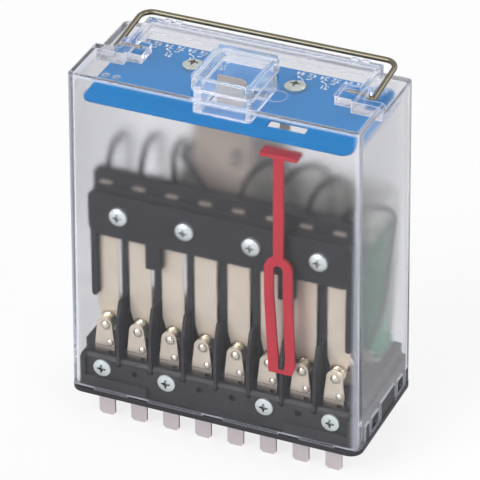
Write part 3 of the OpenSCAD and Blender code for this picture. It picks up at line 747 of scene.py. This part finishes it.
class Palette:
    """All finishes of the relay, with their materials."""

    def __init__(self) -> None:
        """Build every material once."""
        self.effects = Effects()
        round_metal = {"length": 1.0}
        screw = {"roughness": 0.3, "metallic": 0.8, **round_metal}
        # Foot screws: stronger painted shade in the cross recess.
        recess = {"corner_shade": 1.8, "reach": 0.0008}
        finishes = (
            ClearMoulding("clear_cover"),
            ClearMoulding(
                "clear_turret", tint=(0.92, 0.93, 0.97), roughness=0.03, foot=0.03, ior=1.32,
                sparkle=0.000002, edge=0.0005, edge_roughness=0.4, highlight_and_haze=(0.7, 0.77, 0.81),
                edge_highlight_share=0.3, corner_highlight_share=0.0, haze=0.11,
            ),
            Moulding("black_base", (0.022, 0.021, 0.024), (0.09, 0.09, 0.095)),
            Moulding("black_bar", (0.02, 0.02, 0.023), (0.06, 0.06, 0.065), roughness=0.5),
            Moulding("red_flag", (0.4, 0.015, 0.03), (0.46, 0.05, 0.07), rub=0.3),
            Moulding(
                "blue_plate", (0.002, 0.14, 0.36), (0.004, 0.17, 0.42),
                roughness=0.5, rub=0.2, grain=900.0, gloss=0.0,
            ),
            Moulding("bobbin", (0.09, 0.22, 0.15), (0.16, 0.3, 0.23), roughness=0.5),
            Moulding(
                "lead_sleeve", (0.012, 0.012, 0.014), (0.05, 0.05, 0.055),
                roughness=0.42, grain=1500.0, depth=0.00005, rub=0.0,
            ),
            Moulding(
                "white_ink", (0.75, 0.77, 0.8), (0.85, 0.86, 0.88),
                roughness=0.5, rub=0.0, grain=5000.0,
            ),
            # Blades: the painted shade reaches further where they enter the bar.
            TerminalMetal(
                "nickel_silver", (0.76, 0.67, 0.56), (0.65, 0.56, 0.46),
                roughness=0.45, metallic=0.7, seat=0.0009,
            ),
            TerminalMetal(
                "terminal", (0.78, 0.69, 0.58), (0.6, 0.52, 0.42), roughness=0.42, metallic=0.7,
            ),
            Metal("zinc_screw", (0.82, 0.88, 0.86), (0.66, 0.72, 0.7), **screw),
            Metal("foot_screw", (0.8, 0.87, 0.84), (0.64, 0.71, 0.68), **screw, **recess),
            Metal(
                "contact_silver", (0.8, 0.76, 0.68), (0.66, 0.58, 0.45),
                roughness=0.3, **round_metal,
            ),
            Metal(
                "contact_gold", (0.95, 0.88, 0.72), (0.85, 0.7, 0.46),
                roughness=0.25, reach=0.0004, **round_metal,
            ),
            Metal("soft_iron", (0.5, 0.49, 0.46), (0.42, 0.41, 0.38), roughness=0.42),
            Metal(
                "plated_iron", (0.77, 0.76, 0.72), (0.56, 0.55, 0.5), roughness=0.47, metallic=0.45,
            ),
            Metal(
                "lever_steel", (0.5, 0.43, 0.37), (0.42, 0.36, 0.31), roughness=0.4, metallic=0.5,
            ),
            # Cap screws: stronger painted shade in the cross recess.
            Metal(
                "cap_screw", (0.72, 0.77, 0.68), (0.6, 0.63, 0.54),
                roughness=0.22, corner_shade=1.6, reach=0.0008, **round_metal,
            ),
            Metal(
                "bail_wire", (0.17, 0.155, 0.115), (0.12, 0.11, 0.08),
                roughness=0.3, **round_metal,
            ),
            Metal(
                "magnet", (0.1, 0.1, 0.11), (0.14, 0.14, 0.15),
                roughness=0.55, metallic=0.6, **round_metal,
            ),
            Tape("coil_tape", (0.035, 0.21, 0.12), (0.02, 0.13, 0.075)),
        )
        self.made = {f.name: f.build(self.effects) for f in finishes}

    def dress(self, obj: Piece, name: str) -> None:
        """Give every material slot of an object one finish.

        Args:
            obj: the object.
            name: the finish's name.
        """
        material = self.made[name]
        if not obj.material_slots:
            obj.data.materials.append(material)
        for slot in obj.material_slots:
            slot.material = material


# -------- pieces


def mesh_object(
    name: str, points: Sequence[Point], faces: Sequence[Sequence[int]], smooth: bool = False,
) -> Piece:
    """Make a mesh object from points in metres.

    Args:
        name: the object's name.
        points: corner points.
        faces: corner numbers of each face.
        smooth: whether its faces are shaded smooth.

    Returns:
        The new object, linked to the scene.
    """
    mesh = bpy.data.meshes.new(name)
    mesh.from_pydata(points, [], faces)
    mesh.validate()
    for face in mesh.polygons:
        face.use_smooth = smooth
    obj = bpy.data.objects.new(name, mesh)
    bpy.context.scene.collection.objects.link(obj)
    return obj


def tube_faces(first: int, sides: int, rings: int) -> list[tuple[int, ...]]:
    """Faces of a tube whose rings of points follow each other, closed at both ends.

    Args:
        first: number of the first ring's first point.
        sides: points in a ring.
        rings: number of rings.

    Returns:
        The faces.
    """
    faces: list[tuple[int, ...]] = []
    for ring in range(rings - 1):
        a, b = first + ring * sides, first + (ring + 1) * sides
        faces += [(a + j, a + (j + 1) % sides, b + (j + 1) % sides, b + j) for j in range(sides)]
    last = first + (rings - 1) * sides
    faces.append(tuple(first + j for j in reversed(range(sides))))
    faces.append(tuple(last + j for j in range(sides)))
    return faces


class SubAssembly:
    """A group of pieces that belong together, dressed and detailed as one."""

    finishes: ClassVar[dict[str, str]] = {}

    def __init__(self, nodes: dict[str, Piece], palette: Palette) -> None:
        """Keep the loaded pieces by name and the finished materials."""
        self.nodes = nodes
        self.palette = palette

    def members(self, stem: str) -> list[str]:
        """Names of the pieces with a stem, numbered ones included.

        Args:
            stem: the piece's name without a number.

        Returns:
            The names in order.
        """
        return sorted(
            name for name in self.nodes
            if name == stem or (name.rpartition("_")[0] == stem and name[-1].isdigit())
        )

    def dress(self) -> None:
        """Give each piece its finish."""
        for stem, finish in self.finishes.items():
            for name in self.members(stem):
                self.palette.dress(self.nodes[name], finish)
                LOG.info("%s: %s", name, finish)

    def detail(self) -> None:
        """Add what the solids leave out. Plain sub-assemblies add nothing."""

    def build(self) -> None:
        """Dress and detail the sub-assembly."""
        self.dress()
        self.detail()


class CoverShell(SubAssembly):
    """Clear cover with the turret round the hand lever."""

    finishes = {"cover": "clear_cover", "turret_frame": "clear_turret"}


class BaseBlock(SubAssembly):
    """Black base with its terminal strip, barriers and rear pins."""

    finishes = {
        "base": "black_base", "terminal_strip": "black_base", "strip_screws": "foot_screw",
        "pole_barriers": "black_bar", "common_terminals": "terminal", "coil_pins": "terminal",
    }


@dataclass(frozen=True)
class RimSizes:
    """Sizes of the rims round the contact discs, in millimetres."""

    z: float = 21.6
    radius: float = 2.45
    ease: float = 0.12
    sides: int = 40
    front_spans: tuple[Span, ...] = ((0.02, 0.4), (0.76, 1.14))
    blade_spans: tuple[Span, ...] = ((0.12, 0.46), (0.7, 1.0))


class FixedContacts(SubAssembly):
    """Front and rear fixed contacts with their rivets and discs."""

    finishes = {
        "front_contact": "terminal", "rear_contacts": "terminal",
        "front_contact_tips": "contact_silver",
        "foot_rivets": "contact_silver", "rear_contact_tips": "contact_gold",
    }
    sizes: ClassVar[RimSizes] = RimSizes()

    def detail(self) -> None:
        """Lay bright rims round the discs of each front contact and of the blade that meets it."""
        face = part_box("front_contact_tips")[1][1] / MM
        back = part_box("blade_contacts")[0][1] / MM
        kinds = (
            ("front_contact_rims", "housing", face, -1, self.sizes.front_spans),
            ("blade_contact_rims", "armature", back, 1, self.sizes.blade_spans),
        )
        for name, body, start, way, spans in kinds:
            points: list[Point] = []
            faces: list[tuple[int, ...]] = []
            for x in POLES_X:
                for span in spans:
                    y0, y1 = sorted(start + way * depth for depth in span)
                    self.rim(points, faces, x, y0, y1)
            rims = mesh_object(name, points, faces)
            self.palette.dress(rims, "contact_gold")
            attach(rims, body)
            LOG.info("%s: %d faces", name, len(faces))

    def rim(
        self, points: list[Point], faces: list[tuple[int, ...]], x: float, y0: float, y1: float,
    ) -> None:
        """Add one short round rim, with its edges eased, to a mesh in the making.

        Args:
            points: the mesh's points so far.
            faces: the mesh's faces so far.
            x: place across the relay, in millimetres.
            y0: front end, in millimetres.
            y1: rear end, in millimetres.
        """
        first, sides = len(points), self.sizes.sides
        wide, ease = self.sizes.radius, self.sizes.ease
        rings = ((y0, wide - ease), (y0 + ease, wide), (y1 - ease, wide), (y1, wide - ease))
        turns = [math.tau * j / sides for j in range(sides)]
        for y, radius in rings:
            points += [
                ((x + radius * math.cos(turn)) * MM, y * MM,
                 (self.sizes.z + radius * math.sin(turn)) * MM) for turn in turns
            ]
        faces += tube_faces(first, sides, len(rings))


class MagnetSystem(SubAssembly):
    """Coil, core, magnet and the iron frame that carries them."""

    finishes = {
        "magnet_frame": "plated_iron", "coil_bobbin": "bobbin", "coil_winding": "coil_tape",
        "coil_core": "soft_iron", "permanent_magnet": "magnet",
    }


class MovingBar(SubAssembly):
    """Rocking bar with its blades, the armature and the hand lever."""

    finishes = {
        "front_bar": "black_bar", "rear_bar": "black_bar", "bar_screws": "zinc_screw",
        "blade": "nickel_silver", "blade_contacts": "contact_silver", "carrier_hub": "black_bar",
        "pivot_shaft": "soft_iron", "armature_plate": "soft_iron", "manual_lever": "lever_steel",
    }


class SmallMovers(SubAssembly):
    """Position flag and wire bail."""

    finishes = {"position_flag": "red_flag", "wire_bail": "bail_wire"}


@dataclass(frozen=True)
class LeadRoute:
    """Sizes of the flexible leads, in millimetres and degrees.

    Each lead arches from the bar over the rocking shaft and drops behind it to its terminal. On
    its way it moves across: the leads left of the lever early in the arch, the others late. The
    last one comes down in front of the coil.
    """

    pass_x: tuple[float, ...] = (-35, -25, -16.3, -13.9, 14, 26, 31, 40.6)
    arch: tuple[float, ...] = (6.8, 8.8, 9.2, 8, 8.5, 10, 7.5, 4.6)
    drop: tuple[float, ...] = (0, 0, 0, 0, 0, 0, 0, 10)
    arch_points: int = 7
    arch_step: float = 30.0
    early: float = 62.0
    late: float = 170.0
    left_leads: int = 4
    start_y: float = -10.6
    end_y: float = 3.8
    coil_y: float = 10.5
    bar_top: float = 70.2
    fall_z: float = 58.0
    turn_z: float = 36.0
    last_turn_z: float = 33.0
    turn_share: float = 0.5
    last_turn_share: float = 0.1
    end_z: float = 19.0
    bend_y: Span = (-9.8, 3.0)
    radius: float = 0.8
    sides: int = 12
    steps: int = 6


class Leads(SubAssembly):
    """Flexible leads from the moving bar to the common terminals, as smooth round sleeves."""

    sizes: ClassVar[LeadRoute] = LeadRoute()

    def route(self, lead: int) -> list[Vector]:
        """Points of a lead's middle, in millimetres.

        Args:
            lead: the lead's number, counted from 0.

        Returns:
            The route points, from the bar to the terminal.
        """
        sizes = self.sizes
        last = lead == len(POLES_X) - 1
        x0, xp = POLES_X[lead], sizes.pass_x[lead]
        back = sizes.coil_y if last else sizes.end_y
        reach = sizes.early if lead < sizes.left_leads else sizes.late
        points = []
        for k in range(sizes.arch_points):
            angle = k * sizes.arch_step
            turn = math.radians(angle)
            share = min(1.0, angle / reach)
            ease = share * share * (3 - 2 * share)
            y = sizes.start_y + (back - sizes.start_y) * (1 - math.cos(turn)) / 2
            z = sizes.bar_top + sizes.arch[lead] * math.sin(turn) - sizes.drop[lead] * ease
            points.append(Vector((x0 + (xp - x0) * ease, y, z)))
        share = sizes.last_turn_share if last else sizes.turn_share
        turn_z = sizes.last_turn_z if last else sizes.turn_z
        points.append(Vector((xp, back, sizes.fall_z)))
        points.append(Vector((xp + (x0 - xp) * share, sizes.end_y, turn_z)))
        points.append(Vector((x0, sizes.end_y, sizes.end_z)))
        return points

    def smooth(self, points: list[Vector]) -> list[Vector]:
        """Pass a smooth curve through the route points.

        Args:
            points: the route points.

        Returns:
            The finer points.
        """
        fine = []
        ends = [points[0], *points, points[-1]]
        for a, b, c, d in zip(ends, ends[1:], ends[2:], ends[3:]):
            for step in range(self.sizes.steps):
                t = step / self.sizes.steps
                fine.append(0.5 * (2 * b + (c - a) * t + (2 * a - 5 * b + 4 * c - d) * t * t
                                   + (3 * b - a - 3 * c + d) * t ** 3))
        fine.append(points[-1])
        return fine

    def ring(self, middle: Vector, along: Vector) -> list[Point]:
        """Points of one ring of a sleeve, in metres.

        Args:
            middle: the ring's middle, in millimetres.
            along: direction of the sleeve there.

        Returns:
            The ring's points.
        """
        across = (Vector((1, 0, 0)) - along * along.x).normalized()
        up = along.cross(across)
        turns = [math.tau * j / self.sizes.sides for j in range(self.sizes.sides)]
        radius = self.sizes.radius
        return [
            tuple((middle + radius * (across * math.cos(turn) + up * math.sin(turn))) * MM)
            for turn in turns
        ]

    def detail(self) -> None:
        """Make the sleeves in place of the plain solids, each arching from the bar to its terminal.
        """
        sizes = self.sizes
        for lead in range(len(POLES_X)):
            line = self.smooth(self.route(lead))
            ends = [line[0], *line, line[-1]]
            ways = [(after - before).normalized() for before, after in zip(ends, ends[2:])]
            ways[0], ways[-1] = Vector((0, 0, 1)), Vector((0, 0, -1))
            points = [p for at, way in zip(line, ways) for p in self.ring(at, way)]
            faces = tube_faces(0, sizes.sides, len(line))
            sleeve = mesh_object(f"lead_sleeve_{lead + 1}", points, faces, True)
            self.palette.dress(sleeve, "lead_sleeve")
            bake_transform(sleeve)
            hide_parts(f"lead_{lead + 1}")
            LOG.info("%s: %d rings", sleeve.name, len(line))


class Stroke(Enum):
    """Plain digits as strokes on a grid one wide and two high."""

    ONE = (((0.2, 1.6), (0.55, 2), (0.55, 0)),)
    TWO = (((0, 1.6), (0.25, 2), (0.75, 2), (1, 1.6), (1, 1.25), (0, 0), (1, 0)),)
    THREE = (((0, 2), (1, 2), (0.45, 1.2), (1, 0.75), (0.85, 0.15), (0.4, 0), (0, 0.3)),)
    FOUR = (((0.75, 0), (0.75, 2), (0, 0.6), (1, 0.6)),)
    FIVE = (((1, 2), (0.1, 2), (0, 1.15), (0.7, 1.25), (1, 0.8), (0.85, 0.15), (0.35, 0),
             (0, 0.25)),)
    SIX = (((0.85, 2), (0.2, 1.3), (0, 0.6), (0.25, 0), (0.75, 0), (1, 0.5), (0.75, 1.05),
            (0.1, 0.95)),)
    SEVEN = (((0, 2), (1, 2), (0.35, 0)),)
    EIGHT = (((0.5, 1.1), (0.1, 1.5), (0.3, 2), (0.7, 2), (0.9, 1.5), (0.5, 1.1), (0, 0.55),
              (0.25, 0), (0.75, 0), (1, 0.55), (0.5, 1.1)),)


@dataclass(frozen=True)
class PrintSizes:
    """Sizes of the print on the blue plate, in millimetres."""

    thick: float = 0.02
    sunk: float = 0.05
    line: float = 0.3
    digit_h: float = 1.7
    digit_pitch: float = 1.3
    pair_x: float = 1.75
    top_row_y: float = 15.8
    low_row_y: float = 11.2
    symbol_y: float = 14.4
    symbol: tuple[tuple[Flat, ...], ...] = (
        ((-1.9, 0), (-1.9, -0.8), (-0.8, -0.8)),
        ((1.9, 0), (1.9, -0.8), (0.8, -0.8)),
        ((0, -2.1), (0, -1.5), (-1.5, -0.4)),
    )
    groups: tuple[float, ...] = (34.2, 27.2, 20.2, 13.2, -12.4, -19.4, -26.4, -33.4)


class TopPlate(SubAssembly):
    """Blue plate with its screws and its white print, which reads from the rear."""

    finishes = {"label_plate": "blue_plate", "label_screws": "cap_screw"}
    sizes: ClassVar[PrintSizes] = PrintSizes()

    def ribbon(self, stroke: Sequence[Flat]) -> list[list[Flat]]:
        """Turn a stroke into flat four-cornered pieces.

        Args:
            stroke: points of the stroke in the plate's plane, in millimetres.

        Returns:
            One outline for each straight run.
        """
        pieces = []
        for start, end in zip(stroke, stroke[1:]):
            a, b = Vector(start), Vector(end)
            along = (b - a).normalized() * self.sizes.line / 2
            side = Vector((-along.y, along.x))
            a, b = a - along, b + along
            pieces.append([tuple(corner) for corner in (a - side, b - side, b + side, a + side)])
        return pieces

    def number(self, x: float, y: float, *digits: Stroke) -> list[list[Flat]]:
        """Strokes of a number that reads from the rear.

        Args:
            x: middle of the number.
            y: middle of the number.
            digits: its digits.

        Returns:
            The list of strokes.
        """
        size, pitch = self.sizes.digit_h / 2, self.sizes.digit_pitch
        start = x + pitch * (len(digits) - 1) / 2
        return [
            [(start - i * pitch + size * (0.5 - u), y - size * (v - 1)) for u, v in run]
            for i, digit in enumerate(digits) for run in digit.value
        ]

    def strokes(self) -> list[list[Flat]]:
        """All strokes of the print: for each pole two numbers, a changeover symbol and a third.

        Returns:
            The list of strokes.
        """
        sizes, found = self.sizes, []
        for pole, x in zip(Stroke, sizes.groups):
            found += self.number(x + sizes.pair_x, sizes.top_row_y, pole, Stroke.TWO)
            found += self.number(x - sizes.pair_x, sizes.top_row_y, pole, Stroke.FOUR)
            found += self.number(x, sizes.low_row_y, pole, Stroke.ONE)
            found += [[(x + u, sizes.symbol_y + v) for u, v in run] for run in sizes.symbol]
        return found

    def detail(self) -> None:
        """Lay the print on the plate."""
        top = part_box("label_plate")[1][2]
        levels = (top + self.sizes.thick * MM, top - self.sizes.sunk * MM)
        points: list[Point] = []
        faces: list[tuple[int, ...]] = []
        for outline in (piece for stroke in self.strokes() for piece in self.ribbon(stroke)):
            first, n = len(points), len(outline)
            points += [(x * MM, y * MM, z) for z in levels for x, y in outline]
            faces.append(tuple(range(first, first + n)))
            for j in range(n):
                a, b = first + j, first + (j + 1) % n
                faces.append((a, a + n, b + n, b))
        ink = mesh_object("label_print", points, faces)
        self.palette.dress(ink, "white_ink")
        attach(ink, "housing")
        LOG.info("%s: %d faces", ink.name, len(faces))


# -------- studio


@dataclass(frozen=True)
class Lamp:
    """A soft square lamp: place and width in metres, power in watts."""

    name: str
    at: Point
    size: float
    power: float

    def hang(self, aim: Point) -> None:
        """Put the lamp into the scene.

        Args:
            aim: the point it faces, in metres.
        """
        data = bpy.data.lights.new(self.name, "AREA")
        data.size, data.energy = self.size, self.power
        obj = bpy.data.objects.new(self.name, data)
        obj.location = self.at
        way = Vector(aim) - Vector(self.at)
        obj.rotation_euler = way.to_track_quat("-Z", "Y").to_euler()
        bpy.context.scene.collection.objects.link(obj)


@dataclass(frozen=True)
class Studio:
    """Camera, pale floor and soft lamps. Lengths in metres, angles in degrees."""

    eye: Point = (0.35212, -0.81592, 0.60915)
    azimuth: float = 23.1735
    elevation: float = 32.0950
    roll: float = -0.1545
    lens: float = 282.0
    sensor: float = 36.0
    shift: Span = (-0.0210, -0.0180)
    clip: Span = (0.05, 20.0)
    floor_z: float = -0.0093
    floor_half: float = 6.0
    paper: Color = (0.8, 0.8, 0.81)
    paper_roughness: float = 0.9
    paper_glow: float = 0.8
    sky: Color = (0.95, 0.96, 1.0)
    sky_strength: float = 0.6
    white: Color = (1.0, 1.0, 1.0)
    aim: Point = (0, 0, 0.05)
    lamps: tuple[Lamp, ...] = (
        Lamp("key", (-0.6, -1.0, 0.9), 0.9, 15),
        Lamp("fill", (1.1, -0.5, 0.6), 0.8, 6),
        Lamp("back", (0.9, 0.9, 0.9), 0.7, 6),
    )

    def camera(self) -> None:
        """Place the camera by its direction and turn it by its roll."""
        data = bpy.data.cameras.new("camera")
        data.lens, data.sensor_width = self.lens, self.sensor
        data.shift_x, data.shift_y = self.shift
        data.clip_start, data.clip_end = self.clip
        obj = bpy.data.objects.new("camera", data)
        bpy.context.scene.collection.objects.link(obj)
        az, el, roll = (math.radians(v) for v in (self.azimuth, self.elevation, self.roll))
        back = Vector((math.sin(az) * math.cos(el), -math.cos(az) * math.cos(el), math.sin(el)))
        right = Vector((math.cos(az), math.sin(az), 0))
        up = back.cross(right)
        across = math.cos(roll) * right + math.sin(roll) * up
        upright = math.cos(roll) * up - math.sin(roll) * right
        turn = Matrix([list(v) for v in (across, upright, back)]).transposed()
        obj.matrix_world = Matrix.Translation(self.eye) @ turn.to_4x4()
        bpy.context.scene.camera = obj

    @staticmethod
    def seen(sheet: Sheet, *kinds: str) -> Socket:
        """Mask of rays straight from the camera or of other kinds.

        Args:
            sheet: the material's or world's sheet.
            kinds: the other kinds, such as Transmission.

        Returns:
            The mask's socket.
        """
        path = sheet.add("LightPath")
        mask = path.outputs["Is Camera Ray"]
        for kind in kinds:
            mask = sheet.math("MAXIMUM", mask, path.outputs[f"Is {kind} Ray"])
        return mask

    def world(self) -> None:
        """Soft daylight grey for the object, white for what the camera sees past it."""
        world = bpy.data.worlds.new("studio")
        bpy.context.scene.world = world
        sheet, end = Sheet.fresh(world, "OutputWorld")
        soft = sheet.add("Background", in_Color=(*self.sky, 1), in_Strength=self.sky_strength)
        white = sheet.add("Background", in_Color=(*self.white, 1), in_Strength=1.0)
        seen = self.seen(sheet, "Transmission", "Glossy")
        sheet.join(sheet.either(seen, soft.outputs[0], white.outputs[0]), end.inputs["Surface"])

    def floor(self) -> None:
        """Lay a wide pale floor under the pins."""
        half, z = self.floor_half, self.floor_z
        corners = [(-half, -half, z), (half, -half, z), (half, half, z), (-half, half, z)]
        obj = mesh_object("floor", corners, [(0, 1, 2, 3)])
        material = bpy.data.materials.new("pale_floor")
        sheet, end = Sheet.fresh(material, "OutputMaterial")
        paper = sheet.add(
            "BsdfPrincipled", in_Base_Color=(*self.paper, 1), in_Roughness=self.paper_roughness,
        )
        glow = sheet.add("Emission", in_Color=(*self.white, 1), in_Strength=1.0)
        share = sheet.math("MULTIPLY", self.seen(sheet, "Transmission"), self.paper_glow)
        sheet.join(sheet.either(share, paper.outputs[0], glow.outputs[0]), end.inputs["Surface"])
        obj.data.materials.append(material)

    def build(self) -> None:
        """Set up the whole studio."""
        self.camera()
        self.world()
        self.floor()
        for lamp in self.lamps:
            lamp.hang(self.aim)
        bpy.context.scene.view_settings.view_transform = "Standard"
        LOG.info("studio ready")


def main() -> None:
    """Load the frame, dress it and set the studio round it."""
    logging.basicConfig(level=logging.INFO, format="%(name)s %(message)s")
    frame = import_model()
    studio = Studio()
    studio.build()
    palette = Palette()
    for kind in (CoverShell, TopPlate, BaseBlock, FixedContacts, MagnetSystem, MovingBar,
                 SmallMovers, Leads):
        kind(frame["nodes"], palette).build()


if __name__ == "__main__":
    main()
